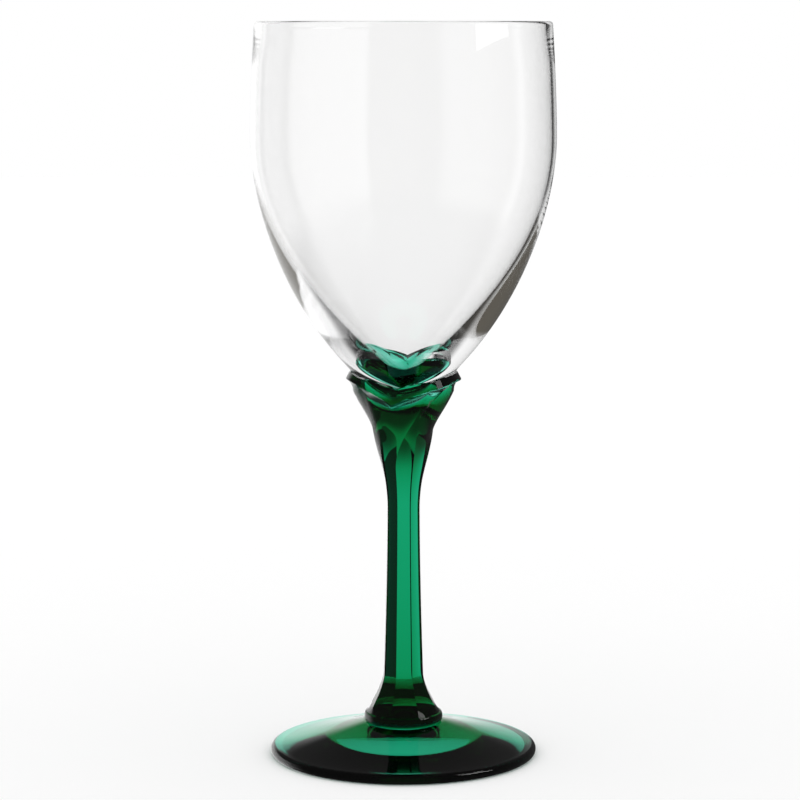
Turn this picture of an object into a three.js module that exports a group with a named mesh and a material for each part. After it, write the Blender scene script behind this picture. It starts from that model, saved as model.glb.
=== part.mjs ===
// A stemmed goblet: a clear blown bowl with a heavy base, a pressed green stem whose top opens
// into a calyx of twisted leaves, and a green foot. Millimetres, +Z up, origin under the foot's centre.

import * as THREE from 'three';

// foot
const FOOT_RADIUS = 36.5;
const FOOT_EDGE_THICKNESS = 2.8;
const FOOT_HEIGHT = 8.9;            // floor to the pad that carries the stem
const FOOT_PAD_RADIUS = 10.6;       // flat pad in the middle of the foot's top
const FOOT_RING_WIDTH = 1.8;        // flat standing ring under the edge
const FOOT_UNDERSIDE_SLOPE = 0.065; // rise of the underside for each millimetre inside the ring
const FOOT_DOME_RADIUS = 19;        // hollow in the middle of the underside
const FOOT_DOME_DEPTH = 2.2;        // how much higher the hollow's middle is than its edge's slope
const FOOT_TOP_CURVE = 1.25;        // how strongly the top sweeps up towards the pad

// stem: everything between the foot's pad and the seat that the bowl stands on
const STEM_LENGTH = 89.7;
const SOLE_RADIUS = 10.2;           // where the stem stands on the foot's pad
const LIP_BULGE = 0.55;             // how far the rounded lip stands out over the sole
const LIP_HEIGHT = 2.8;
const FLARE_FOOT_HEIGHT = 2.75;     // sole to the lower end of the flare, just inside the lip
const FLARE_FOOT_RADIUS = 10.45;    // across the corners
const FLARE_ROUND_HEIGHT = 2.5;     // the round lower end turns into eight facets over this height
const ROUND_TO_CORNER = 0.955;      // radius of the round section, as a share of the corners' radius
const FLARE_HEIGHT = 13.6;          // sole to the top of the flared base
const SHAFT_LOWER_RADIUS = 5.75;
const SHAFT_WAIST_RADIUS = 4.7;
const WAIST_HEIGHT = 59.8;          // sole to the slimmest point
const FIRST_ARRIS_DEGREES = -65;    // azimuth of one of the eight arrises, 0 faces the viewer

// calyx: heights are over the seat, the four kinds of corner repeat once on the far side
const LEAF_RADIUS = 13.5;           // where the leaves end under their rolled edge
const LEAF_END_HEIGHT = 3.4;
const LEAF_SAG = 2.0;               // how far the middle of a leaf's end hangs below its corners
const LEAF_HOLLOW = 0.06;           // share of the radius by which a leaf's middle is drawn in
const LEAF_END_ROUNDNESS = 0.5;     // 0 is a flat facet and 1 a round section
const CORNERS = {
  notch: { rimHeight: 3.8, bandHeight: 4.2, bevelHeight: 1.8, rimRadius: 14.1, edgeRadius: 14.2 },
  kink: { rimHeight: 5.4, bandHeight: 1.9, bevelHeight: 0.8, rimRadius: 14.3, edgeRadius: 15.5 },
  tip: { rimHeight: 7.1, bandHeight: 2.0, bevelHeight: 1.0, rimRadius: 14.7, edgeRadius: 15.7 },
  shoulder: { rimHeight: 6.3, bandHeight: 1.6, bevelHeight: 1.0, rimRadius: 14.5, edgeRadius: 15.5 },
};
// azimuths of the corners at the rim and at the band's lower edge, 0 faces the viewer
const RIM_DEGREES = { notch: -7.5, kink: 30, tip: 82.5, shoulder: 122.5 };
const EDGE_DEGREES = { notch: -12.5, kink: 30, tip: 82.5, shoulder: 122.5 };
// each arris turns from the shaft's octagon to its corner between two heights over the seat
const TWISTS = {
  notch: { start: -19.6, end: 6.4, ease: smoothStep },
  kink: { start: -19.6, end: 1.9, ease: smoothStep },
  tip: { start: -4.6, end: 7.2, ease: (share) => share ** 1.8 },
  shoulder: { start: -24.6, end: -1.6, ease: smoothStep },
};
const RIM_SWELL = 0.45;             // how far a leaf's edge bows up between its corners

// bowl
const BOWL_HEIGHT = 101.4;          // seat to rim
const BELLY_HEIGHT = 70.4;          // seat to the widest ring
const BELLY_RADIUS = 41.2;
const RIM_RADIUS = 39.9;
const WALL = 1.3;
const RIM_BEAD = 1.9;               // thickness of the fire-polished rim
const BASE_THICKNESS = 6.2;         // glass between the seat and the bottom of the inside
const SEAT_CUT = 1.6;               // how far the seat's flat cuts into the rounded bottom
const SEAT_SWELL = 2.5;             // how much wider than the plain egg the bottom is at the seat
const SWELL_HEIGHT = 11.1;          // height over which that widening dies away
const CAVITY_FULLNESS = 0.82;       // a lower value makes the inside wider near its bottom
const JOINT_CLEARANCE = 0.35;       // all round the bowl's base inside the calyx

// fineness of the facets
const TURN_STEPS = 48;
const FACET_STEPS = 5;

const footTop = FOOT_HEIGHT;
const seatHeight = footTop + STEM_LENGTH;
const bellyLevel = seatHeight + BELLY_HEIGHT;
const rimLevel = seatHeight + BOWL_HEIGHT;

const degrees = Math.PI / 180;

function blend(from, to, share) {
  return from + (to - from) * share;
}

function clamp(share) {
  return Math.min(1, Math.max(0, share));
}

function smoothStep(share) {
  return share * share * (3 - 2 * share);
}

// bowl outline: an egg with a widened bottom below the belly, then a slight draw-in to the rim

function bowlOuterRadius(z) {
  if (z >= bellyLevel) {
    const share = (z - bellyLevel) / (rimLevel - bellyLevel);
    return BELLY_RADIUS - (BELLY_RADIUS - RIM_RADIUS) * share ** 1.6;
  }
  const depth = (bellyLevel - z) / (BELLY_HEIGHT + SEAT_CUT);
  const swell = SEAT_SWELL * Math.max(0, 1 - (z - seatHeight) / SWELL_HEIGHT) ** 2;
  return BELLY_RADIUS * (1 - depth ** 1.8) ** 0.7 + swell;
}

function bowlInnerRadius(z) {
  if (z >= bellyLevel) {
    return bowlOuterRadius(z) - WALL;
  }
  const depth = (bellyLevel - z) / (BELLY_HEIGHT - BASE_THICKNESS);
  return (BELLY_RADIUS - WALL) * Math.max(0, 1 - depth ** 2) ** CAVITY_FULLNESS;
}

function latheSolid(profile) {
  return new THREE.LatheGeometry(profile, TURN_STEPS).rotateX(Math.PI / 2);
}

function bowlGeometry() {
  const steps = 16;
  const upperSteps = 4;
  const profile = [new THREE.Vector2(0, seatHeight)];
  for (let i = 0; i <= steps; i += 1) {
    const z = blend(seatHeight, bellyLevel, (i / steps) ** 1.4);
    profile.push(new THREE.Vector2(bowlOuterRadius(z), z));
  }
  const beadRadius = RIM_BEAD / 2;
  const beadCentreZ = rimLevel - beadRadius;
  const beadCentreRadius = bowlOuterRadius(beadCentreZ) - beadRadius;
  for (let i = 1; i < upperSteps; i += 1) {
    const z = blend(bellyLevel, beadCentreZ, i / upperSteps);
    profile.push(new THREE.Vector2(bowlOuterRadius(z), z));
  }
  const beadSteps = 6;
  for (let i = 0; i <= beadSteps; i += 1) {
    const angle = (i / beadSteps) * Math.PI;
    profile.push(new THREE.Vector2(
      beadCentreRadius + beadRadius * Math.cos(angle),
      beadCentreZ + beadRadius * Math.sin(angle),
    ));
  }
  const beadFoot = beadCentreZ - RIM_BEAD;
  for (let i = upperSteps; i >= 1; i -= 1) {
    const z = blend(bellyLevel, beadFoot, i / upperSteps);
    profile.push(new THREE.Vector2(bowlInnerRadius(z), z));
  }
  const innerBottom = seatHeight + BASE_THICKNESS;
  for (let i = steps; i >= 1; i -= 1) {
    const z = blend(innerBottom, bellyLevel, (i / steps) ** 1.6);
    profile.push(new THREE.Vector2(bowlInnerRadius(z), z));
  }
  profile.push(new THREE.Vector2(0, innerBottom));
  return latheSolid(profile);
}

function footGeometry() {
  const edge = FOOT_EDGE_THICKNESS / 2;
  const ringOuter = FOOT_RADIUS - edge;
  const ringInner = ringOuter - FOOT_RING_WIDTH;
  const underside = (radius) => {
    const dome = Math.max(0, 1 - (radius / FOOT_DOME_RADIUS) ** 2);
    return FOOT_UNDERSIDE_SLOPE * (ringInner - radius) + FOOT_DOME_DEPTH * dome;
  };
  const domeSteps = 5;
  const profile = [];
  for (let i = 0; i <= domeSteps; i += 1) {
    const radius = FOOT_DOME_RADIUS * (i / domeSteps);
    profile.push(new THREE.Vector2(radius, underside(radius)));
  }
  profile.push(new THREE.Vector2(ringInner, 0));
  const edgeSteps = 6;
  for (let i = 0; i <= edgeSteps; i += 1) {
    const angle = (i / edgeSteps - 0.5) * Math.PI;
    profile.push(new THREE.Vector2(ringOuter + edge * Math.cos(angle), edge + edge * Math.sin(angle)));
  }
  const topSteps = 7;
  for (let i = 1; i <= topSteps; i += 1) {
    const share = i / topSteps;
    profile.push(new THREE.Vector2(
      blend(ringOuter, FOOT_PAD_RADIUS, share),
      blend(FOOT_EDGE_THICKNESS, footTop, share ** FOOT_TOP_CURVE),
    ));
  }
  profile.push(new THREE.Vector2(0, footTop));
  return latheSolid(profile);
}

// the stem's arrises: eight rails that rise from the lip, twist as they open into the calyx,
// and end at the corners of the leaves' rim

const cornerKinds = ['notch', 'kink', 'tip', 'shoulder'];

function railKind(rail) {
  return cornerKinds[rail % cornerKinds.length];
}

function railCorner(rail) {
  return CORNERS[railKind(rail)];
}

function cornerAzimuth(rail, table) {
  return table[railKind(rail)] + 180 * Math.floor(rail / cornerKinds.length);
}

function railAzimuth(rail, z) {
  const twist = TWISTS[railKind(rail)];
  const share = clamp((z - seatHeight - twist.start) / (twist.end - twist.start));
  return blend(FIRST_ARRIS_DEGREES + 45 * rail, cornerAzimuth(rail, RIM_DEGREES), twist.ease(share));
}

const waistLevel = footTop + WAIST_HEIGHT;
const flareTop = footTop + FLARE_HEIGHT;
const flareFoot = footTop + FLARE_FOOT_HEIGHT;

function shaftRadius(z) {
  if (z < flareTop) {
    const share = (z - flareFoot) / (flareTop - flareFoot);
    return blend(FLARE_FOOT_RADIUS, SHAFT_LOWER_RADIUS, 1 - (1 - share) ** 1.5);
  }
  if (z < waistLevel) {
    const share = (z - flareTop) / (waistLevel - flareTop);
    return blend(SHAFT_LOWER_RADIUS, SHAFT_WAIST_RADIUS, 1 - (1 - share) ** 1.6);
  }
  const share = (z - waistLevel) / (seatHeight + LEAF_END_HEIGHT - waistLevel);
  return SHAFT_WAIST_RADIUS + (LEAF_RADIUS - SHAFT_WAIST_RADIUS) * share ** 1.7;
}

// one station of the section between two neighbouring rails; the form's roundness turns flat
// facets into a round section, and its bow lifts and its hollow draws in the middle of each facet
function facetPoint(rail, share, form) {
  const z0 = form.height(rail);
  const z1 = form.height(rail + 1);
  const azimuth0 = form.azimuth(rail, z0) * degrees;
  const azimuth1 = form.azimuth(rail + 1, z1) * degrees;
  const radius0 = form.radius(rail, z0);
  const radius1 = form.radius(rail + 1, z1);
  const azimuth = blend(azimuth0, azimuth1, share);
  const radius = blend(radius0, radius1, share);
  const flatX = blend(radius0 * Math.sin(azimuth0), radius1 * Math.sin(azimuth1), share);
  const flatY = blend(-radius0 * Math.cos(azimuth0), -radius1 * Math.cos(azimuth1), share);
  const hump = 4 * share * (1 - share);
  const drawn = 1 - form.hollow * hump;
  return new THREE.Vector3(
    drawn * blend(flatX, radius * Math.sin(azimuth), form.roundness),
    drawn * blend(flatY, -radius * Math.cos(azimuth), form.roundness),
    blend(z0, z1, share) + form.bow * hump,
  );
}

function stemRing(form) {
  const full = { azimuth: railAzimuth, roundness: 0, bow: 0, hollow: 0, ...form };
  const ring = [];
  for (let rail = 0; rail < 8; rail += 1) {
    for (let step = 0; step < FACET_STEPS; step += 1) {
      ring.push(facetPoint(rail, step / FACET_STEPS, full));
    }
  }
  return ring;
}

const rimHeight = (rail) => seatHeight + railCorner(rail).rimHeight;
const edgeHeight = (rail) => rimHeight(rail) - railCorner(rail).bandHeight;
const leafEndHeight = (rail) => edgeHeight(rail) - railCorner(rail).bevelHeight;

function rimRing() {
  return stemRing({
    height: rimHeight,
    radius: (rail) => railCorner(rail).rimRadius,
    azimuth: (rail) => cornerAzimuth(rail, RIM_DEGREES),
    roundness: 1,
    bow: RIM_SWELL,
  });
}

function edgeRing() {
  return stemRing({
    height: edgeHeight,
    radius: (rail) => railCorner(rail).edgeRadius,
    azimuth: (rail) => cornerAzimuth(rail, EDGE_DEGREES),
    roundness: 1,
    bow: RIM_SWELL,
  });
}

// a ring of the leaves, which hollow and sag as they grow from the waist to their ends
function leafRing(share) {
  const grown = smoothStep(clamp((share - 0.35) / 0.65));
  return stemRing({
    height: (rail) => blend(waistLevel, leafEndHeight(rail), share),
    radius: (rail, z) => shaftRadius(z),
    roundness: LEAF_END_ROUNDNESS * grown,
    bow: -LEAF_SAG * grown,
    hollow: LEAF_HOLLOW * grown,
  });
}

// the cup's wall follows the bowl's outline at the joint's clearance
function cupRing(share) {
  return rimRing().map((point) => {
    const z = blend(point.z, seatHeight, share);
    const radius = bowlOuterRadius(z) + JOINT_CLEARANCE;
    const azimuth = Math.atan2(point.x, -point.y);
    return new THREE.Vector3(radius * Math.sin(azimuth), -radius * Math.cos(azimuth), z);
  });
}

function stemRings() {
  const rings = [];
  const level = (z, radius, roundness = 0) => {
    rings.push(stemRing({ height: () => z, radius: () => radius, roundness }));
  };
  const lipSteps = 5;
  for (let i = 0; i <= lipSteps; i += 1) {
    const angle = (-90 + 30 * i) * degrees;
    const z = footTop + (LIP_HEIGHT / 2) * (1 + Math.sin(angle));
    level(z, SOLE_RADIUS + LIP_BULGE * Math.cos(angle), 1);
  }
  const flareSteps = 8;
  for (let i = 0; i < flareSteps; i += 1) {
    const z = blend(flareFoot, flareTop, i / flareSteps);
    const faceted = smoothStep(clamp((z - flareFoot) / FLARE_ROUND_HEIGHT));
    level(z, shaftRadius(z) * blend(ROUND_TO_CORNER, 1, faceted), 1 - faceted);
  }
  const shaftSteps = 3;
  for (let i = 0; i < shaftSteps; i += 1) {
    const z = blend(flareTop, waistLevel, i / shaftSteps);
    level(z, shaftRadius(z));
  }
  const leafSteps = 14;
  for (let i = 0; i <= leafSteps; i += 1) {
    rings.push(leafRing(i / leafSteps));
  }
  rings.push(edgeRing(), rimRing());
  const cupSteps = 5;
  for (let i = 0; i <= cupSteps; i += 1) {
    rings.push(cupRing(i / cupSteps));
  }
  return rings;
}

// skins a closed body over a stack of equal rings, with a flat fan at each end
function skinRings(rings) {
  const count = rings[0].length;
  const positions = [];
  const indices = [];
  rings.forEach((ring) => ring.forEach((p) => positions.push(p.x, p.y, p.z)));
  for (let k = 0; k + 1 < rings.length; k += 1) {
    for (let j = 0; j < count; j += 1) {
      const a = k * count + j;
      const b = k * count + ((j + 1) % count);
      indices.push(a, b, b + count, a, b + count, a + count);
    }
  }
  const bottom = positions.length / 3;
  const top = bottom + 1;
  const last = (rings.length - 1) * count;
  positions.push(0, 0, rings[0][0].z, 0, 0, rings[rings.length - 1][0].z);
  for (let j = 0; j < count; j += 1) {
    const next = (j + 1) % count;
    indices.push(bottom, next, j);
    indices.push(top, last + j, last + next);
  }
  const geometry = new THREE.BufferGeometry();
  geometry.setAttribute('position', new THREE.Float32BufferAttribute(positions, 3));
  geometry.setIndex(indices);
  geometry.computeVertexNormals();
  return geometry;
}

const clearGlass = new THREE.MeshStandardMaterial({
  name: 'clear_glass', color: 0xe9eeec, roughness: 0.03, metalness: 0, transparent: true, opacity: 0.25,
});
const greenGlass = new THREE.MeshStandardMaterial({
  name: 'green_glass', color: 0x067a4c, roughness: 0.04, metalness: 0, transparent: true, opacity: 0.8,
});

function namedMesh(name, geometry, material) {
  const mesh = new THREE.Mesh(geometry, material);
  mesh.name = name;
  return mesh;
}

const goblet = new THREE.Group();
goblet.name = 'goblet';
goblet.add(namedMesh('foot', footGeometry(), greenGlass));
goblet.add(namedMesh('stem', skinRings(stemRings()), greenGlass));
goblet.add(namedMesh('bowl', bowlGeometry(), clearGlass));

export default goblet;
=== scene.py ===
"""A stemmed goblet: a clear blown bowl in the faceted calyx of a green stem, on a green foot.

Laid out as an add-on and run as a script. Lengths are in metres. Azimuths of the goblet's points
are 0 towards the camera and grow to its right; those of light are 0 straight behind the goblet.
"""

import math

import bpy
from bpy.props import FloatProperty, FloatVectorProperty, IntProperty, PointerProperty
from bpy.types import Operator, Panel, PropertyGroup
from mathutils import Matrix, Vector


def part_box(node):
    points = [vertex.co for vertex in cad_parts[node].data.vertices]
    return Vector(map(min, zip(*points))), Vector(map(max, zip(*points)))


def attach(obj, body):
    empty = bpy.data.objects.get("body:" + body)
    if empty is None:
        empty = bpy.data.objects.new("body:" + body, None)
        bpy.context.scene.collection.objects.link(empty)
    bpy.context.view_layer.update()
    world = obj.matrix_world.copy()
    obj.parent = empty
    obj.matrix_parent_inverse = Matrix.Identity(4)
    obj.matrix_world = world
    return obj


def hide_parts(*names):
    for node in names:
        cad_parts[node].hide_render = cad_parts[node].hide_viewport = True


bl_info = {
    "name": "Stemmed goblet",
    "version": (1, 0, 0),
    "blender": (4, 5, 0),
    "location": "View3D > Sidebar > Goblet",
    "description": "Makes a goblet's clear bowl, green stem and green foot, and a studio",
    "category": "Add Mesh",
}

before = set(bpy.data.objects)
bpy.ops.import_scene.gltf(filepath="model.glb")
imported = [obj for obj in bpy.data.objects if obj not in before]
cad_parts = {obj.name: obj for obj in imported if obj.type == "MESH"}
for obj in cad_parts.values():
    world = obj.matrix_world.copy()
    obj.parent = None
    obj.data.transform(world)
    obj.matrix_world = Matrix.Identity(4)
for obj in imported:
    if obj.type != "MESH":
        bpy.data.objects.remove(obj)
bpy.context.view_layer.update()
FOOT_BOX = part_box("foot")
STEM_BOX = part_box("stem")
BOWL_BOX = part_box("bowl")

MM = 0.001
WHITE = (1, 1, 1, 1)

# Small distances
FUSED_GAP = 0.04 * MM  # left between faces that are fused to each other
FUSED_REACH = 3 * FUSED_GAP  # how far from the bowl a face of the calyx still counts as fused
MERGE_DISTANCE = 0.001 * MM
ON_SURFACE = 0.05 * MM  # how near a point lies that counts as on the bowl's outside

SHARP_ANGLE = math.radians(28)  # from this on an edge between two faces is shaded crisp
HALF_TURN = 180

# Eight leaves in four kinds, repeated at half a turn: notch, kink, tip and shoulder. Lengths are
# in millimetres: the rim's height over the seat, the band's and the bevel's heights under it, and
# the radii of rim and band edge. Then come the azimuths of both, in degrees.
CORNER_KEYS = ("rim", "band", "bevel", "rim_radius", "edge_radius", "top", "edge")
CALYX_CORNERS = tuple(
    dict(zip(CORNER_KEYS, values))
    for values in (
        (3.8, 4.2, 1.8, 14.1, 14.2, -7.5, -12.5),
        (5.4, 1.9, 0.8, 14.3, 15.5, 30.0, 30.0),
        (7.1, 2.0, 1.0, 14.7, 15.7, 82.5, 82.5),
        (6.3, 1.6, 1.0, 14.5, 15.5, 122.5, 122.5),
    )
)
KINDS = len(CALYX_CORNERS)
CORNERS = 2 * KINDS
# Where each kind's arris starts and ends its turn round the neck, from the seat in
# millimetres; power 0 is a smooth start and end
ARRIS_TURNS = (
    {"start": -19.6, "end": 6.4, "power": 0},
    {"start": -19.6, "end": 1.9, "power": 0},
    {"start": -4.6, "end": 7.2, "power": 1.8},
    {"start": -24.6, "end": -1.6, "power": 0},
)
WIDEST_LEAF = 2  # the kind between a tip and a shoulder
LIP_ANGLES = (-90, 60)  # part of a circle that the lip's profile follows, from its sole up
FIRST_ARRIS = -65  # azimuth on the shaft, in degrees
ARRIS_STEP = 2 * HALF_TURN / CORNERS

# Exponents of the curves: a higher one keeps more of the bend near the curve's far end
DRAW_IN_POWER = 1.6  # belly to rim
EGG_POWER, EGG_FULLNESS = 1.8, 0.7  # belly to seat
FLARE_POWER = 1.5
SHAFT_POWER = 1.6
NECK_POWER = 1.7
FOOT_POWER = 1.25

# Rows and columns of the meshes
LEAF_COLUMNS = (15, 21, 16, 20)  # across each kind of leaf, 2.5 degrees each at the rim
CUP_ROWS = 24
LEVEL_ROWS = 16
LEVEL_HEIGHT = 12 * MM  # over the seat, where the bowl's rows are level again above the calyx
WALL_ROWS = 56
SHOULDER_ROWS = 12
BEAD_ROWS = 16
UPPER_CAVITY_ROWS = 40
CAVITY_ROWS = 90
CAVITY_SPACING = 1.8  # packs the cavity's rows towards its bottom
LIP_ROWS = 12
FLARE_ROWS = 24
SHAFT_ROWS = 12
LEAF_ROWS = 60
BEVEL_SHARES = (0.3, 0.6, 0.82)
DOME_ROWS = 20
UNDERSIDE_ROWS = 8
EDGE_ROWS = 16
TOP_ROWS = 30


def length(name, description, default):
    """A length property in metres."""
    return FloatProperty(
        name=name, description=description, default=default, unit="LENGTH", subtype="DISTANCE"
    )


def factor(name, description, default):
    """A property without a unit."""
    return FloatProperty(name=name, description=description, default=default)


def linear(code):
    """An sRGB hex colour as linear red, green and blue."""
    parts = [int(code[i : i + 2], 16) / 255 for i in (0, 2, 4)]
    return tuple(c / 12.92 if c <= 0.04045 else ((c + 0.055) / 1.055) ** 2.4 for c in parts)


class BowlSizes(PropertyGroup):
    """Sizes of the clear bowl."""

    belly_height: length("Belly height", "Height of the widest ring above the seat", 70.4 * MM)
    belly_radius: length("Belly radius", "Radius of the widest ring", BOWL_BOX[1].x)
    rim_radius: length("Rim radius", "Outer radius at the drinking rim", 39.9 * MM)
    wall: length("Wall", "Thickness of the wall at the belly", 1.3 * MM)
    rim_bead: length("Rim bead", "Thickness of the fire-polished rim", 1.9 * MM)
    rim_taper: length("Rim taper", "Height over which the wall thickens into the rim", 12 * MM)
    base_thickness: length("Base thickness", "Glass between the seat and the cavity", 6.2 * MM)
    sole_cut: length("Sole cut", "How much of the egg's end the seat cuts away", 1.6 * MM)
    sole_swell: length("Sole swell", "How much wider than the egg the seat is", 2.5 * MM)
    swell_height: length("Swell height", "Height over which the swell dies away", 11.1 * MM)
    cavity_power: factor("Cavity power", "Higher makes the cavity narrower", 0.82)


class StemSizes(PropertyGroup):
    """Sizes of the green stem and its calyx."""

    sole_radius: length("Sole radius", "Radius where the stem stands on the foot's pad", 10.2 * MM)
    lip_bulge: length("Lip bulge", "How far the rounded lip stands out over the sole", 0.55 * MM)
    lip_height: length("Lip height", "Height of the rounded lip", 2.8 * MM)
    flare_foot: length("Flare foot", "Height of the flare's lower end over the foot", 2.75 * MM)
    flare_radius: length("Flare radius", "Corner radius at the flare's lower end", 10.45 * MM)
    round_height: length("Round height", "Height over which facets replace the round", 2.5 * MM)
    round_share: factor("Round share", "Radius of the round as a share of the corners'", 0.955)
    shaft_radius: length("Shaft radius", "Radius where the flare ends", 5.75 * MM)
    waist_radius: length("Waist radius", "Smallest radius of the shaft", 4.7 * MM)
    leaf_radius: length("Leaf radius", "Radius of the shaft under the leaf ends", 13.5 * MM)
    leaf_height: length("Leaf height", "Height over the seat of the leaf radius", 3.4 * MM)
    leaf_start: factor("Leaf start", "Where the leaves start to hollow, as a share", 0.35)
    leaf_roundness: factor("Leaf roundness", "0 is flat facets and 1 a round neck", 0.5)
    flare_height: length("Flare height", "Height of the flare above the foot", 13.6 * MM)
    waist_height: length("Waist height", "Height of the waist above the foot", 59.8 * MM)
    leaf_sag: length("Leaf sag", "How far a leaf end's middle hangs below its corners", 2.0 * MM)
    flute: factor("Flute", "Hollow of a leaf's middle as a share of the radius", 0.06)
    scoop: factor("Scoop", "Hollow of the bevel under the band as a share of the radius", 0.12)
    scoop_rise: length("Scoop rise", "Rise of the bevel for the whole radius of scoop", 4 * MM)
    rim_swell: length("Rim swell", "How far the rim rises between two corners", 0.45 * MM)
    floor_depth: length("Floor depth", "Depth under the seat down to which the cup counts", 5 * MM)


class FootSizes(PropertyGroup):
    """Sizes of the green foot."""

    radius: length("Radius", "Outer radius", FOOT_BOX[1].x)
    edge: length("Edge", "Thickness of the rounded edge", 2.8 * MM)
    ring_width: length("Ring width", "Width of the ring that stands on the table", 1.8 * MM)
    dome_radius: length("Dome radius", "Radius of the hollow under the stem", 19 * MM)
    dome_depth: length("Dome depth", "How much higher the hollow is than the slope", 2.2 * MM)
    slope: factor("Slope", "Rise of the underside inside its standing ring", 0.065)
    pad_radius: length("Pad radius", "Radius of the flat pad under the stem", 10.6 * MM)


class GlassColours(PropertyGroup):
    """Colour and refraction of the two glasses."""

    green: FloatVectorProperty(
        name="Green", description="Colour that the green glass absorbs least",
        subtype="COLOR", size=3, min=0, max=1, default=linear("31E9D5"),
    )
    density: factor("Density", "Absorption for each metre of green glass", 640.0)
    ior: factor("IOR", "Index of refraction of soda-lime glass", 1.51)


class StudioSizes(PropertyGroup):
    """The camera, the light and the floor."""

    camera_distance: length("Camera distance", "From the goblet's axis to the lens", 784 * MM)
    camera_height: length("Camera height", "Height of the lens above the table", 200 * MM)
    pitch: FloatProperty(
        name="Pitch", description="How far the camera looks down",
        default=math.radians(7.42), unit="ROTATION", subtype="ANGLE",
    )
    bounces: IntProperty(
        name="Light bounces", description="Bounces that a ray may make inside the glass", default=72
    )
    # painted shade: the glowing disc under the foot shines at these levels in place of the table's
    # real shade
    under_foot: factor("Under the foot", "Light on the table under the foot, white being 1", 0.78)
    under_stem: factor("Under the stem", "The same, seen down through the stem", 0.1)


def mix(a, b, share):
    """The value a share of the way from a to b."""
    return a + (b - a) * share


def smooth(share):
    """A smooth start and end between 0 and 1."""
    share = min(1, max(0, share))
    return share * share * (3 - 2 * share)


def hump(share):
    """Rises from 0 to 1 halfway and falls to 0 again."""
    return 4 * share * (1 - share)


def add_node(tree, kind, settings=None, inputs=None):
    """Adds one node with its settings; an input is a value or another node's output."""
    made = tree.nodes.new(kind)
    for name, value in (settings or {}).items():
        setattr(made, name, value)
    for key, value in (inputs or {}).items():
        if isinstance(value, bpy.types.NodeSocket):
            tree.links.new(value, made.inputs[key])
        else:
            made.inputs[key].default_value = value
    return made


def maths(tree, operation, *values):
    """One step of arithmetic."""
    inputs = dict(enumerate(values))
    return add_node(tree, "ShaderNodeMath", {"operation": operation}, inputs).outputs[0]


# Shape of the bowl


def bowl_outside(sizes, height):
    """Outer radius of the bowl: an egg's lower end, blunt at the seat, drawn in a little above."""
    seat, top = BOWL_BOX[0].z, BOWL_BOX[1].z
    belly = seat + sizes.belly_height
    if height >= belly:
        drawn_in = ((height - belly) / (top - belly)) ** DRAW_IN_POWER
        return mix(sizes.belly_radius, sizes.rim_radius, drawn_in)
    depth = min(1, (belly - height) / (sizes.belly_height + sizes.sole_cut))
    swell = sizes.sole_swell * max(0, 1 - (height - seat) / sizes.swell_height) ** 2
    return sizes.belly_radius * (1 - depth**EGG_POWER) ** EGG_FULLNESS + swell


def bowl_inside(sizes, height):
    """Radius of the cavity, or -1 below its bottom."""
    belly = BOWL_BOX[0].z + sizes.belly_height
    if height >= belly:
        thickened = smooth((height - BOWL_BOX[1].z + sizes.rim_taper) / sizes.rim_taper)
        return bowl_outside(sizes, height) - mix(sizes.wall, sizes.rim_bead, thickened)
    depth = (belly - height) / (sizes.belly_height - sizes.base_thickness)
    if depth > 1:
        return -1
    return (sizes.belly_radius - sizes.wall) * (1 - depth * depth) ** sizes.cavity_power


def bowl_outline(sizes):
    """Points (radius, height) from the seat up the outside, over the rim and down the cavity."""
    seat, top = BOWL_BOX[0].z, BOWL_BOX[1].z
    belly = seat + sizes.belly_height
    mean_rim = calyx_rim_height(0)
    level = seat + LEVEL_HEIGHT
    heights = [mix(seat, mean_rim, i / CUP_ROWS) for i in range(CUP_ROWS + 1)]
    heights += [mix(mean_rim, level, i / LEVEL_ROWS) for i in range(1, LEVEL_ROWS + 1)]
    heights += [mix(level, belly, i / WALL_ROWS) for i in range(1, WALL_ROWS + 1)]
    bead = sizes.rim_bead / 2
    shoulder = top - bead
    heights += [mix(belly, shoulder, i / SHOULDER_ROWS) for i in range(1, SHOULDER_ROWS)]
    points = [(0, seat)] + [(bowl_outside(sizes, z), z) for z in heights]
    middle = bowl_outside(sizes, shoulder) - bead
    for i in range(BEAD_ROWS + 1):
        angle = math.pi * i / BEAD_ROWS
        points.append((middle + bead * math.cos(angle), shoulder + bead * math.sin(angle)))
    bottom = seat + sizes.base_thickness
    upper = range(UPPER_CAVITY_ROWS - 1, 0, -1)
    lower = range(CAVITY_ROWS, 0, -1)
    cavity = [mix(belly, shoulder, i / UPPER_CAVITY_ROWS) for i in upper]
    cavity += [mix(bottom, belly, (i / CAVITY_ROWS) ** CAVITY_SPACING) for i in lower]
    return points + [(bowl_inside(sizes, z), z) for z in cavity] + [(0, bottom)]


# Shape of the calyx's rim


def calyx_corner(index):
    """The corner at an index that may run past the eighth."""
    return CALYX_CORNERS[index % KINDS]


def corner_azimuth(index, key):
    """A corner's azimuth at its rim ("top") or at its band's lower edge ("edge")."""
    return calyx_corner(index)[key] + HALF_TURN * (index // KINDS)


def calyx_rim_height(azimuth):
    """Height of the calyx's rim at an azimuth in degrees."""
    swell = bpy.context.scene.goblet_stem.rim_swell
    first = CALYX_CORNERS[0]["top"]
    turned = (azimuth - first) % HALF_TURN + first
    for index in range(KINDS):
        start, end = corner_azimuth(index, "top"), corner_azimuth(index + 1, "top")
        if turned <= end:
            break
    share = (turned - start) / (end - start)
    height = mix(calyx_corner(index)["rim"], calyx_corner(index + 1)["rim"], share) * MM
    return BOWL_BOX[0].z + height + swell * hump(share)


def azimuth_of(x, y):
    """Azimuth of a point in degrees."""
    return math.degrees(math.atan2(x, -y))


# Shape of the stem


def shaft_levels(sizes):
    """Heights of the waist, the top of the flare and the flare's lower end."""
    foot = STEM_BOX[0].z
    return foot + sizes.waist_height, foot + sizes.flare_height, foot + sizes.flare_foot


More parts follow.
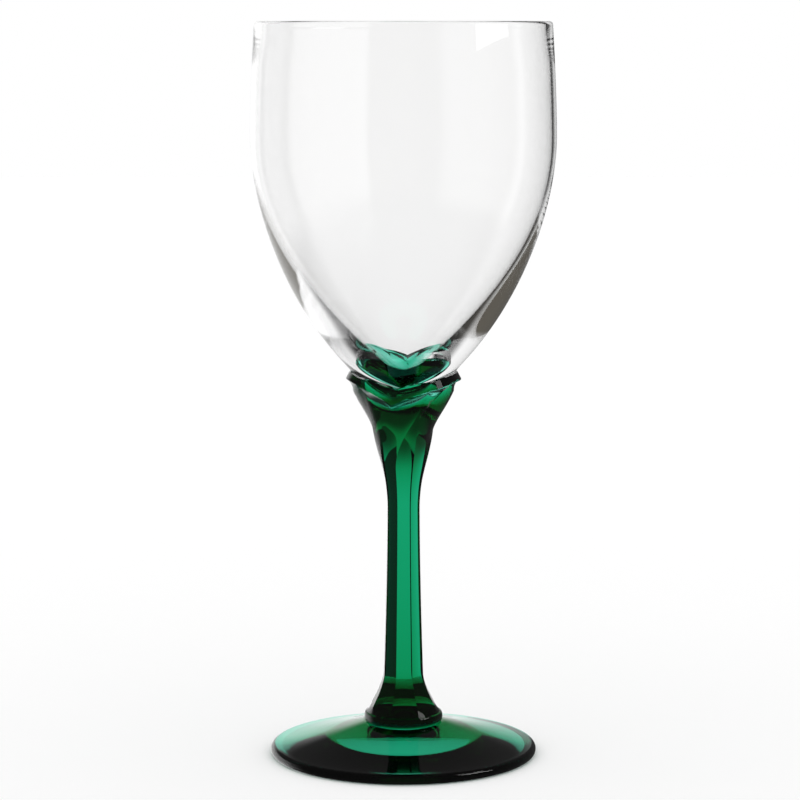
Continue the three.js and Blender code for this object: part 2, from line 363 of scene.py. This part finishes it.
def shaft_radius(sizes, height):
    """Radius of the shaft's corners at a height."""
    waist, flare, low = shaft_levels(sizes)
    if height < flare:
        widened = ((flare - height) / (flare - low)) ** FLARE_POWER
        return mix(sizes.shaft_radius, sizes.flare_radius, widened)
    if height < waist:
        widened = ((waist - height) / (waist - flare)) ** SHAFT_POWER
        return mix(sizes.waist_radius, sizes.shaft_radius, widened)
    leaf = BOWL_BOX[0].z + sizes.leaf_height
    widened = ((height - waist) / (leaf - waist)) ** NECK_POWER
    return mix(sizes.waist_radius, sizes.leaf_radius, widened)


def arris_azimuth(index, height):
    """Azimuth of an arris, which turns from the shaft's octagon to its corner of the calyx."""
    turn = ARRIS_TURNS[index % KINDS]
    share = ((height - BOWL_BOX[0].z) / MM - turn["start"]) / (turn["end"] - turn["start"])
    share = min(1, max(0, share))
    turned = share ** turn["power"] if turn["power"] else smooth(share)
    return mix(FIRST_ARRIS + ARRIS_STEP * index, corner_azimuth(index, "top"), turned)


def stem_ring(height, radius, azimuth, roundness=0, bow=0, hollow=0, fullness=0):
    """One row of points round the stem, from functions that give its eight corners.

    Roundness 0 is flat facets. Bow lifts and hollow draws in each facet's middle. Fullness makes
    the widest leaf rounder and less hollow than the others.
    """
    points = []
    for index in range(CORNERS):
        heights = height(index), height(index + 1)
        angles = [math.radians(azimuth(index + i, heights[i])) for i in (0, 1)]
        radii = [radius(index + i, heights[i]) for i in (0, 1)]
        (x0, y0), (x1, y1) = ((r * math.sin(a), -r * math.cos(a)) for r, a in zip(radii, angles))
        filled = fullness if index % KINDS == WIDEST_LEAF else 0
        curved = mix(roundness, 1, filled)
        columns = LEAF_COLUMNS[index % KINDS]
        for share in (step / columns for step in range(columns)):
            angle, reach = mix(*angles, share), mix(*radii, share)
            keep = 1 - hollow * hump(share) * (1 - filled)
            x = mix(mix(x0, x1, share), reach * math.sin(angle), curved)
            y = mix(mix(y0, y1, share), -reach * math.cos(angle), curved)
            points.append((keep * x, keep * y, mix(*heights, share) + bow * hump(share)))
    return points


def stem_shaft_rows(sizes):
    """Rows of the rounded lip, the flare and the shaft up to the waist."""

    def ring(z, r, roundness):
        return stem_ring(lambda i: z, lambda i, h: r, arris_azimuth, roundness)

    foot = STEM_BOX[0].z + FUSED_GAP
    waist, flare, low = shaft_levels(sizes)
    rows = []
    for step in range(LIP_ROWS + 1):
        angle = math.radians(mix(*LIP_ANGLES, step / LIP_ROWS))
        height = foot + sizes.lip_height / 2 * (1 + math.sin(angle))
        rows.append(ring(height, sizes.sole_radius + sizes.lip_bulge * math.cos(angle), 1))
    for step in range(FLARE_ROWS):
        height = mix(low, flare, step / FLARE_ROWS)
        faceted = smooth((height - low) / sizes.round_height)
        radius = shaft_radius(sizes, height) * mix(sizes.round_share, 1, faceted)
        rows.append(ring(height, radius, 1 - faceted))
    for step in range(SHAFT_ROWS):
        height = mix(flare, waist, step / SHAFT_ROWS)
        rows.append(ring(height, shaft_radius(sizes, height), 0))
    return rows


def leaf_rows(sizes):
    """Rows of the leaves from the waist to their ends, which hollow and droop on their way up."""

    def end(index):
        corner = calyx_corner(index)
        return BOWL_BOX[0].z + (corner["rim"] - corner["band"] - corner["bevel"]) * MM

    waist = shaft_levels(sizes)[0]
    rows = []
    for share in (step / LEAF_ROWS for step in range(LEAF_ROWS + 1)):
        grown = smooth((share - sizes.leaf_start) / (1 - sizes.leaf_start))
        rows.append(
            stem_ring(
                lambda i: mix(waist, end(i), share),
                lambda i, z: shaft_radius(sizes, z),
                arris_azimuth,
                roundness=sizes.leaf_roundness * grown,
                bow=-sizes.leaf_sag * grown,
                hollow=sizes.flute * grown,
                fullness=grown,
            )
        )
    return rows


def band_rows(sizes, leaf_end):
    """Rows of the hollow bevel, the band's lower edge and the rim."""
    seat = BOWL_BOX[0].z
    edge = stem_ring(
        lambda i: seat + (calyx_corner(i)["rim"] - calyx_corner(i)["band"]) * MM,
        lambda i, z: calyx_corner(i)["edge_radius"] * MM,
        lambda i, z: corner_azimuth(i, "edge"),
        roundness=1,
        bow=sizes.rim_swell,
    )
    rim = stem_ring(
        lambda i: seat + calyx_corner(i)["rim"] * MM,
        lambda i, z: calyx_corner(i)["rim_radius"] * MM,
        lambda i, z: corner_azimuth(i, "top"),
        roundness=1,
        bow=sizes.rim_swell,
    )
    rows = []
    for share in BEVEL_SHARES:
        scoop = sizes.scoop * share * (1 - share)
        row = []
        for low, high in zip(leaf_end, edge):
            x, y, z = (mix(a, b, share) for a, b in zip(low, high))
            row.append((x * (1 - scoop), y * (1 - scoop), z + sizes.scoop_rise * scoop))
        rows.append(row)
    return rows + [edge, rim]


def cup_rows(bowl, rim):
    """Rows of the calyx's inside, which follows the bowl's outside down to the seat."""
    seat = BOWL_BOX[0].z
    rows = []
    for share in (step / CUP_ROWS for step in range(CUP_ROWS + 1)):
        row = []
        for x, y, z in rim:
            height = mix(z, seat, share)
            angle = math.atan2(x, -y)
            reach = bowl_outside(bowl, height) + FUSED_GAP
            x, y = reach * math.sin(angle), -reach * math.cos(angle)
            row.append((x, y, height - FUSED_GAP * share))
        rows.append(row)
    return rows


def foot_outline(sizes):
    """Points (radius, height) from the hollow's middle round the edge and up to the pad."""

    def underside(radius):
        dome = sizes.dome_depth * max(0, 1 - (radius / sizes.dome_radius) ** 2)
        return sizes.slope * (inner - radius) + dome

    top = FOOT_BOX[1].z
    edge = sizes.edge / 2
    outer = sizes.radius - edge
    inner = outer - sizes.ring_width
    radii = [sizes.dome_radius * i / DOME_ROWS for i in range(DOME_ROWS)]
    radii += [mix(sizes.dome_radius, inner, i / UNDERSIDE_ROWS) for i in range(UNDERSIDE_ROWS + 1)]
    points = [(r, underside(r)) for r in radii]
    for i in range(EDGE_ROWS + 1):
        angle = math.pi * (i / EDGE_ROWS - 0.5)
        points.append((outer + edge * math.cos(angle), edge + edge * math.sin(angle)))
    for share in (i / TOP_ROWS for i in range(1, TOP_ROWS + 1)):
        radius = mix(outer, sizes.pad_radius, share)
        points.append((radius, mix(sizes.edge, top, share**FOOT_POWER)))
    sole = bpy.context.scene.goblet_stem.sole_radius
    return points + [(sole, top), (0, top)]


# Meshes


def turned_tree():
    """Geometry nodes that turn an outline of points (radius, 0, height) into a closed body."""
    tree = bpy.data.node_groups.new("turned outline", "GeometryNodeTree")
    sockets = (
        ("Outline", "INPUT", "Geometry"),
        ("Turns", "INPUT", "Int"),
        ("First angle", "INPUT", "Float"),
        ("Glass", "INPUT", "Material"),
        ("Body", "OUTPUT", "Geometry"),
    )
    for name, side, kind in sockets:
        tree.interface.new_socket(name, in_out=side, socket_type="NodeSocket" + kind)
    given = add_node(tree, "NodeGroupInput").outputs
    outline = given["Outline"]
    domain = add_node(tree, "GeometryNodeAttributeDomainSize", {"component": "MESH"}, {0: outline})
    count = domain.outputs["Point Count"]
    columns = maths(tree, "ADD", given["Turns"], 1.0)
    grid = add_node(
        tree, "GeometryNodeMeshGrid", None,
        {"Size X": 1.0, "Size Y": 1.0, "Vertices X": columns, "Vertices Y": count},
    )
    # the grid runs from -0.5 to 0.5 both ways: x becomes the angle and y the outline's point
    place = add_node(tree, "GeometryNodeInputPosition").outputs[0]
    parts = add_node(tree, "ShaderNodeSeparateXYZ", None, {0: place}).outputs
    turned = maths(tree, "ADD", parts[0], 0.5)
    angle = maths(tree, "MULTIPLY_ADD", turned, math.tau, given["First angle"])
    along = maths(tree, "ADD", parts[1], 0.5)
    row = maths(tree, "MULTIPLY", along, maths(tree, "SUBTRACT", count, 1.0))
    whole = {"rounding_mode": "ROUND"}
    index = add_node(tree, "FunctionNodeFloatToInt", whole, {0: row}).outputs[0]
    point = add_node(
        tree, "GeometryNodeSampleIndex", {"data_type": "FLOAT_VECTOR", "domain": "POINT"},
        {"Geometry": outline, "Value": place, "Index": index},
    ).outputs[0]
    spin = add_node(
        tree, "ShaderNodeVectorRotate", {"rotation_type": "Z_AXIS"},
        {"Vector": point, "Angle": angle},
    ).outputs[0]
    steps = (
        ("GeometryNodeSetPosition", {"Position": spin}),
        ("GeometryNodeMergeByDistance", {"Distance": MERGE_DISTANCE}),
        ("GeometryNodeRealizeInstances", {}),
        ("GeometryNodeSetMaterial", {"Material": given["Glass"]}),
    )
    body = grid.outputs["Mesh"]
    for kind, inputs in steps:
        body = add_node(tree, kind, None, {"Geometry": body, **inputs}).outputs[0]
    add_node(tree, "NodeGroupOutput", None, {"Body": body})
    return tree


def turned_piece(name, outline, glass):
    """A closed body of revolution made by the turned outline nodes, as a plain mesh object."""
    source = bpy.data.meshes.new(name + "_outline")
    edges = [(i, i + 1) for i in range(len(outline) - 1)]
    source.from_pydata([(r, 0, z) for r, z in outline], edges, [])
    made = bpy.data.objects.new(name, source)
    bpy.context.scene.collection.objects.link(made)
    modifier = made.modifiers.new("turned outline", "NODES")
    modifier.node_group = turned_tree()
    values = {
        "Turns": 2 * sum(LEAF_COLUMNS),
        "First angle": math.radians(CALYX_CORNERS[0]["top"] - HALF_TURN / 2),  # from +x
        "Glass": glass,
    }
    for socket in modifier.node_group.interface.items_tree:
        if socket.name in values:
            modifier[socket.identifier] = values[socket.name]
    graph = bpy.context.evaluated_depsgraph_get()
    mesh = bpy.data.meshes.new_from_object(made.evaluated_get(graph))
    made.modifiers.clear()
    made.data = mesh
    bpy.data.meshes.remove(source)
    return made


def skinned_piece(name, rows, glass):
    """A closed mesh object over rows of points, with a fan at each end."""
    count = len(rows[0])
    points = [point for row in rows for point in row]
    faces = []
    for row in range(len(rows) - 1):
        for column in range(count):
            a = row * count + column
            b = row * count + (column + 1) % count
            faces.append((a, b, b + count, a + count))
    low, high = len(points), len(points) + 1
    points += [(0, 0, rows[0][0][2]), (0, 0, rows[-1][0][2])]
    last = (len(rows) - 1) * count
    for column in range(count):
        following = (column + 1) % count
        faces.append((low, following, column))
        faces.append((high, last + column, last + following))
    mesh = bpy.data.meshes.new(name)
    mesh.from_pydata(points, [], faces)
    mesh.materials.append(glass)
    made = bpy.data.objects.new(name, mesh)
    bpy.context.scene.collection.objects.link(made)
    return made


def finish_glass(piece, node, is_fused):
    """Shades a piece smooth with crisp arrises, marks its fused faces and gives it to the frame."""
    mesh = piece.data
    mesh.name = piece.name
    fused = mesh.attributes.new("fused", "FLOAT", "FACE")
    for face in mesh.polygons:
        face.use_smooth = True
        inside = all(is_fused(mesh.vertices[v].co) for v in face.vertices)
        fused.data[face.index].value = 1.0 if inside else 0.0
    mesh.set_sharp_from_angle(angle=SHARP_ANGLE)
    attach(piece, "root")
    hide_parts(node)


# Materials


def bare_material(name):
    """A material whose node tree is still empty."""
    made = bpy.data.materials.new(name)
    made.use_nodes = True
    made.node_tree.nodes.clear()
    return made


def mixed(tree, share, first, second):
    """A shader that goes from the first to the second with the share."""
    return add_node(tree, "ShaderNodeMixShader", None, {0: share, 1: first, 2: second}).outputs[0]


def glass_material(name, colours, tint=None):
    """Glass whose fused faces are see-through, so that pieces joined hot are optically one body."""
    material = bare_material(name)
    tree = material.node_tree
    polished = add_node(
        tree, "ShaderNodeBsdfPrincipled", None,
        {"Base Color": WHITE, "Transmission Weight": 1.0, "Roughness": 0.0, "IOR": colours.ior},
    ).outputs[0]
    joined = add_node(tree, "ShaderNodeBsdfTransparent").outputs[0]
    fused = add_node(tree, "ShaderNodeAttribute", {"attribute_name": "fused"}).outputs["Fac"]
    parts = {"Surface": mixed(tree, fused, polished, joined)}
    if tint:
        colour, density = tint
        soaked_up = {"Color": (*colour, 1), "Density": density}
        parts["Volume"] = add_node(tree, "ShaderNodeVolumeAbsorption", None, soaked_up).outputs[0]
    add_node(tree, "ShaderNodeOutputMaterial", None, parts)
    return material


def clear_glass():
    """Blown soda-lime glass: colourless and free of tool marks, so only its edges draw it."""
    name = "blown clear soda-lime glass"
    return bpy.data.materials.get(name) or glass_material(name, bpy.context.scene.goblet_glass)


def green_glass():
    """Pressed glass coloured with chromium: mint where thin, near black where thick."""
    name = "pressed green glass"
    colours = bpy.context.scene.goblet_glass
    tint = colours.green, colours.density
    return bpy.data.materials.get(name) or glass_material(name, colours, tint)


# Operators


class GOBLET_OT_foot(Operator):
    """Makes the round green foot"""

    bl_idname = "goblet.foot"
    bl_label = "Make the foot"

    def execute(self, context):
        sizes = context.scene.goblet_foot
        piece = turned_piece("foot_glass", foot_outline(sizes), green_glass())
        top = FOOT_BOX[1].z - MERGE_DISTANCE
        sole = context.scene.goblet_stem.sole_radius + MERGE_DISTANCE

        def is_fused(v):
            return v.z > top and math.hypot(v.x, v.y) < sole

        finish_glass(piece, "foot", is_fused)
        return {"FINISHED"}


class GOBLET_OT_stem(Operator):
    """Makes the faceted green stem with the calyx that holds the bowl"""

    bl_idname = "goblet.stem"
    bl_label = "Make the stem"

    def execute(self, context):
        sizes = context.scene.goblet_stem
        bowl = context.scene.goblet_bowl
        leaves = leaf_rows(sizes)
        band = band_rows(sizes, leaves[-1])
        rows = stem_shaft_rows(sizes) + leaves + band + cup_rows(bowl, band[-1])
        piece = skinned_piece("stem_glass", rows, green_glass())
        sole = STEM_BOX[0].z + FUSED_GAP + MERGE_DISTANCE
        cup = BOWL_BOX[0].z - sizes.floor_depth

        def is_fused(v):
            if v.z < sole:
                return True
            reach = math.hypot(v.x, v.y)
            return v.z > cup and reach < bowl_outside(bowl, v.z) + FUSED_REACH

        finish_glass(piece, "stem", is_fused)
        return {"FINISHED"}


class GOBLET_OT_bowl(Operator):
    """Makes the clear bowl"""

    bl_idname = "goblet.bowl"
    bl_label = "Make the bowl"

    def execute(self, context):
        sizes = context.scene.goblet_bowl
        piece = turned_piece("bowl_glass", bowl_outline(sizes), clear_glass())
        self.meet_calyx(piece.data, sizes)

        def is_fused(v):
            reach = math.hypot(v.x, v.y)
            below = v.z < calyx_rim_height(azimuth_of(v.x, v.y)) + MERGE_DISTANCE
            return below and reach > bowl_inside(sizes, v.z) + MERGE_DISTANCE

        finish_glass(piece, "bowl", is_fused)
        return {"FINISHED"}

    @staticmethod
    def meet_calyx(mesh, sizes):
        """Slides the outside's lowest rows so that one of them follows the calyx's rim."""
        seat = BOWL_BOX[0].z
        mean_rim = calyx_rim_height(0)
        level = seat + LEVEL_HEIGHT
        for vertex in mesh.vertices:
            x, y, z = vertex.co
            reach = math.hypot(x, y)
            if z > level or abs(reach - bowl_outside(sizes, z)) > ON_SURFACE:
                continue
            rim = calyx_rim_height(azimuth_of(x, y))
            if z <= mean_rim:
                height = mix(seat, rim, (z - seat) / (mean_rim - seat))
            else:
                height = mix(rim, level, (z - mean_rim) / (level - mean_rim))
            wide = bowl_outside(sizes, height) / reach
            vertex.co = (x * wide, y * wide, height)


class GOBLET_OT_studio(Operator):
    """Makes the camera, the floor, the light and its cards"""

    bl_idname = "goblet.studio"
    bl_label = "Make the studio"

    def execute(self, context):
        scene = context.scene
        sizes = scene.goblet_studio
        make_camera(scene, sizes)
        make_floor()
        # a glowing disc of painted shade under the foot
        make_foot_shade(sizes)
        make_world(scene)
        make_softbox()
        make_stem_flag()
        scene.view_settings.view_transform = "Standard"
        cycles = scene.cycles
        cycles.max_bounces = sizes.bounces
        cycles.transmission_bounces = sizes.bounces
        cycles.transparent_max_bounces = sizes.bounces
        cycles.glossy_bounces = sizes.bounces
        return {"FINISHED"}


# Studio

# Camera: sizes in the photo's pixels, and the sensor's width in millimetres
PHOTO_WIDTH = 800
FOCAL_PIXELS = 2910
AXIS_PIXEL = 403.4  # column of the goblet's axis
SENSOR = 36

# Edges of the surroundings as glass sees them, in degrees: each rises from its first angle to
# its second
CEILING = (20, 38)
LOW_CEILING = (8, 22)  # for reflections on the outside
WALL_FADE = (0, 18)
FADED = 0.8  # share of the wall's light that is gone at the fade's upper end
FLOOR_EDGE = (-38, -26)
FLAG_EDGES = (15, 24), (80, 70)
ROOM_EDGES = (147, 154), (292, 276)  # counted on past 180
WALL_SIDES = (50, 85)
WALL_RIGHT_EDGE = (0, 12)
ROOM_COLOUR = "5E5A52"

# Brightness, with white being 1
DARK_THROUGH, WALL_THROUGH = 0.03, 1.01
DARK_REFLECTED, WALL_REFLECTED = 0.08, 0.92
FLOOR_LIGHT = 0.03  # what the floor gets above white, so that it ends without a horizon
SOFTBOX_LIGHT = 2.0
FLAG_LIGHT = 0.06

# Thresholds on counts that a ray keeps
TURNED = 0.5  # reflections inside the glass: above it an inner face has turned the ray
ONE_SOLID = 3.5  # faces passed: under it one solid, above it also both walls of the bowl
JOINED = 0.5  # fused faces passed: above it the ray came down the stem

# the glowing disc of painted shade under the foot
SHADE_RADIUS = 33 * MM
SHADE_HEIGHT = 0.02 * MM
SHADE_CORNERS = 96
SOFTBOX = {"azimuths": (95, 125), "heights": (260 * MM, 900 * MM), "distance": 800 * MM}
STEM_FLAG = {"azimuths": (19, 75), "heights": (-40 * MM, 115 * MM), "distance": 50 * MM}
FLOOR_REACH = 3  # metres from the goblet to the floor's edge


def make_camera(scene, sizes):
    """A long lens level with the rim, looking slightly down."""
    data = bpy.data.cameras.new("camera")
    data.sensor_width = SENSOR
    data.lens = FOCAL_PIXELS * SENSOR / PHOTO_WIDTH
    data.shift_x = (PHOTO_WIDTH / 2 - AXIS_PIXEL) / PHOTO_WIDTH
    camera = bpy.data.objects.new("camera", data)
    camera.location = (0, -sizes.camera_distance, sizes.camera_height)
    camera.rotation_euler = (math.pi / 2 - sizes.pitch, 0, 0)
    scene.collection.objects.link(camera)
    scene.camera = camera


def plain_mesh(name, corners, material):
    """One flat face that belongs to the stage."""
    mesh = bpy.data.meshes.new(name)
    mesh.from_pydata(corners, [], [tuple(range(len(corners)))])
    mesh.materials.append(material)
    made = bpy.data.objects.new(name, mesh)
    bpy.context.scene.collection.objects.link(made)
    return made


def make_floor():
    """Matt white paper, which keeps the goblet's shadow."""
    paper = bpy.data.materials.new("matt white paper")
    paper.use_nodes = True
    surface = paper.node_tree.nodes["Principled BSDF"].inputs
    surface["Base Color"].default_value = (*linear("FDFDFD"), 1)
    surface["Roughness"].default_value = 1
    surface["Specular IOR Level"].default_value = 0
    signs = (-1, -1), (1, -1), (1, 1), (-1, 1)
    corners = [(FLOOR_REACH * x, FLOOR_REACH * y, 0) for x, y in signs]
    floor = plain_mesh("floor", corners, paper)
    floor.visible_glossy = False
    floor.visible_transmission = False


def product(tree, value, *others):
    """The product of shares, as node maths."""
    for other in others:
        value = maths(tree, "MULTIPLY", value, other)
    return value


def opposite(tree, share):
    """One less a share, as node maths."""
    return maths(tree, "SUBTRACT", 1.0, share)


def ramp(tree, value, edge):
    """A smooth rise from 0 at an edge's first angle to 1 at its second."""
    return add_node(
        tree, "ShaderNodeMapRange", {"interpolation_type": "SMOOTHSTEP"},
        {"Value": value, "From Min": edge[0], "From Max": edge[1]},
    ).outputs[0]


def glowing(tree, strength):
    """A surface of white light."""
    light = {"Color": WHITE, "Strength": strength}
    return add_node(tree, "ShaderNodeEmission", None, light).outputs[0]


def make_foot_shade(sizes):
    """Painted shade: a glowing disc that stands in for the table under the foot as refracted rays
    see it, darker where they come down the stem.
    """
    painted_shade = bare_material("painted shade under the foot")
    tree = painted_shade.node_tree
    joints = add_node(tree, "ShaderNodeLightPath").outputs["Transparent Depth"]
    from_stem = maths(tree, "GREATER_THAN", joints, JOINED)
    darker = sizes.under_stem - sizes.under_foot
    # painted shade: a fixed light level in place of the table's shade, lower for rays that came
    # down the stem
    level = maths(tree, "MULTIPLY_ADD", from_stem, darker, sizes.under_foot)
    add_node(tree, "ShaderNodeOutputMaterial", None, {0: glowing(tree, level)})
    # the disc of painted shade lies just over the floor, hidden from the camera, the floor and
    # reflections
    turns = [math.tau * i / SHADE_CORNERS for i in range(SHADE_CORNERS)]
    rim = [(SHADE_RADIUS * math.cos(a), SHADE_RADIUS * math.sin(a), SHADE_HEIGHT) for a in turns]
    disc = plain_mesh("foot_shade", rim, painted_shade)
    disc.visible_camera = False
    disc.visible_diffuse = False
    disc.visible_glossy = False
    disc.visible_shadow = False


def make_world(scene):
    """White to the camera and the floor; glass sees a white wall among dark surroundings."""
    world = bpy.data.worlds.new("studio")
    world.use_nodes = True
    scene.world = world
    tree = world.node_tree
    tree.nodes.clear()
    direction = add_node(tree, "ShaderNodeTexCoord").outputs["Generated"]
    x, y, z = add_node(tree, "ShaderNodeSeparateXYZ", None, {0: direction}).outputs
    elevation = maths(tree, "DEGREES", maths(tree, "ARCSINE", z))
    azimuth = maths(tree, "DEGREES", maths(tree, "ARCTAN2", x, y))
    path = add_node(tree, "ShaderNodeLightPath").outputs
    straight = maths(tree, "LESS_THAN", path["Glossy Depth"], TURNED)
    few_faces = maths(tree, "LESS_THAN", path["Transmission Depth"], ONE_SOLID)
    one_solid = product(tree, straight, few_faces)
    under_ceiling = opposite(tree, ramp(tree, elevation, CEILING))
    over_floor = ramp(tree, elevation, FLOOR_EDGE)

    # through the glass: straight rays see neither floor nor flag, so thin clear glass stays clear,
    # and the wall fades upwards behind one solid, which shades the neck under the calyx
    flag = product(tree, *(ramp(tree, azimuth, edge) for edge in FLAG_EDGES))
    beside_flag = product(tree, over_floor, opposite(tree, flag))
    open_wall = maths(tree, "MAXIMUM", beside_flag, straight)
    faded = product(tree, one_solid, ramp(tree, elevation, WALL_FADE), FADED)
    wall = product(tree, under_ceiling, open_wall, opposite(tree, faded))
    seen_through = maths(tree, "MULTIPLY_ADD", wall, WALL_THROUGH, DARK_THROUGH)

    # turned rays also reach the brownish room on the viewer's side
    all_round = maths(tree, "FLOORED_MODULO", azimuth, 2.0 * HALF_TURN)
    sides = (ramp(tree, all_round, edge) for edge in ROOM_EDGES)
    room = product(tree, opposite(tree, straight), *sides)
    brownish = (*linear(ROOM_COLOUR), 1)
    lit = add_node(
        tree, "ShaderNodeMix", {"data_type": "RGBA"}, {0: room, 6: WHITE, 7: brownish}
    ).outputs[2]

    # reflections on the outside: the wall behind and to the left, up to a lower ceiling
    behind = opposite(tree, ramp(tree, maths(tree, "ABSOLUTE", azimuth), WALL_SIDES))
    left = opposite(tree, ramp(tree, azimuth, WALL_RIGHT_EDGE))
    level = product(tree, over_floor, opposite(tree, ramp(tree, elevation, LOW_CEILING)))
    lit_side = product(tree, level, behind, left)
    reflected = maths(tree, "MULTIPLY_ADD", lit_side, WALL_REFLECTED, DARK_REFLECTED)

    white = maths(tree, "MULTIPLY_ADD", path["Is Diffuse Ray"], FLOOR_LIGHT, 1.0)
    lights = (WHITE, white), (WHITE, reflected), (lit, seen_through)
    plain, mirror, through = (
        add_node(
            tree, "ShaderNodeBackground", None, {"Color": colour, "Strength": strength}
        ).outputs[0]
        for colour, strength in lights
    )
    opaque = mixed(tree, path["Is Glossy Ray"], plain, mirror)
    every = mixed(tree, path["Is Transmission Ray"], opaque, through)
    add_node(tree, "ShaderNodeOutputWorld", None, {0: every})


def make_card(name, material, azimuths, heights, distance):
    """An upright card that only glass sees; its azimuths run from straight behind to the right."""
    angles = [math.radians(a) for a in azimuths]
    (x0, y0), (x1, y1) = ((distance * math.sin(a), distance * math.cos(a)) for a in angles)
    low, high = heights
    corners = [(x0, y0, low), (x1, y1, low), (x1, y1, high), (x0, y0, high)]
    card = plain_mesh(name, corners, material)
    card.visible_camera = False
    card.visible_diffuse = False
    card.visible_shadow = False
    return card


def make_softbox():
    """A lit card on the right that gives the bowl its tall highlight; only reflections see it."""
    cloth = bare_material("softbox cloth")
    tree = cloth.node_tree
    add_node(tree, "ShaderNodeOutputMaterial", None, {0: glowing(tree, SOFTBOX_LIGHT)})
    card = make_card("softbox", cloth, **SOFTBOX)
    card.visible_transmission = False


def make_stem_flag():
    """A dark card close behind that darkens facets of the stem and leaves the bowl clear."""
    black = bare_material("black flag")
    tree = black.node_tree
    path = add_node(tree, "ShaderNodeLightPath").outputs
    turned = maths(tree, "GREATER_THAN", path["Glossy Depth"], TURNED)
    two_walls = maths(tree, "GREATER_THAN", path["Transmission Depth"], ONE_SOLID)
    passed = maths(tree, "MAXIMUM", turned, two_walls)
    clear = add_node(tree, "ShaderNodeBsdfTransparent", None, {"Color": WHITE}).outputs[0]
    surface = mixed(tree, passed, glowing(tree, FLAG_LIGHT), clear)
    add_node(tree, "ShaderNodeOutputMaterial", None, {0: surface})
    card = make_card("stem_flag", black, **STEM_FLAG)
    card.visible_glossy = False


class GOBLET_PT_panel(Panel):
    """Lists the pieces and their sizes"""

    bl_idname = "GOBLET_PT_panel"
    bl_label = "Stemmed goblet"
    bl_space_type = "VIEW_3D"
    bl_region_type = "UI"
    bl_category = "Goblet"

    def draw(self, context):
        for name, kind in SETTINGS.items():
            box = self.layout.box()
            for prop in kind.__annotations__:
                box.prop(getattr(context.scene, name), prop)
        for operator in OPERATORS:
            self.layout.operator(operator.bl_idname)


SETTINGS = {
    "goblet_glass": GlassColours,
    "goblet_foot": FootSizes,
    "goblet_stem": StemSizes,
    "goblet_bowl": BowlSizes,
    "goblet_studio": StudioSizes,
}
OPERATORS = (GOBLET_OT_foot, GOBLET_OT_stem, GOBLET_OT_bowl, GOBLET_OT_studio)


def register():
    """Adds the classes, and the settings to the scene."""
    for kind in (*SETTINGS.values(), *OPERATORS, GOBLET_PT_panel):
        bpy.utils.register_class(kind)
    for name, kind in SETTINGS.items():
        setattr(bpy.types.Scene, name, PointerProperty(type=kind))


def unregister():
    """Takes away what register adds."""
    for name in SETTINGS:
        delattr(bpy.types.Scene, name)
    for kind in (GOBLET_PT_panel, *reversed(OPERATORS), *reversed(list(SETTINGS.values()))):
        bpy.utils.unregister_class(kind)


def main():
    """Makes the whole goblet and its studio."""
    register()
    bpy.ops.goblet.foot()
    bpy.ops.goblet.stem()
    bpy.ops.goblet.bowl()
    bpy.ops.goblet.studio()


if __name__ == "__main__":
    main()
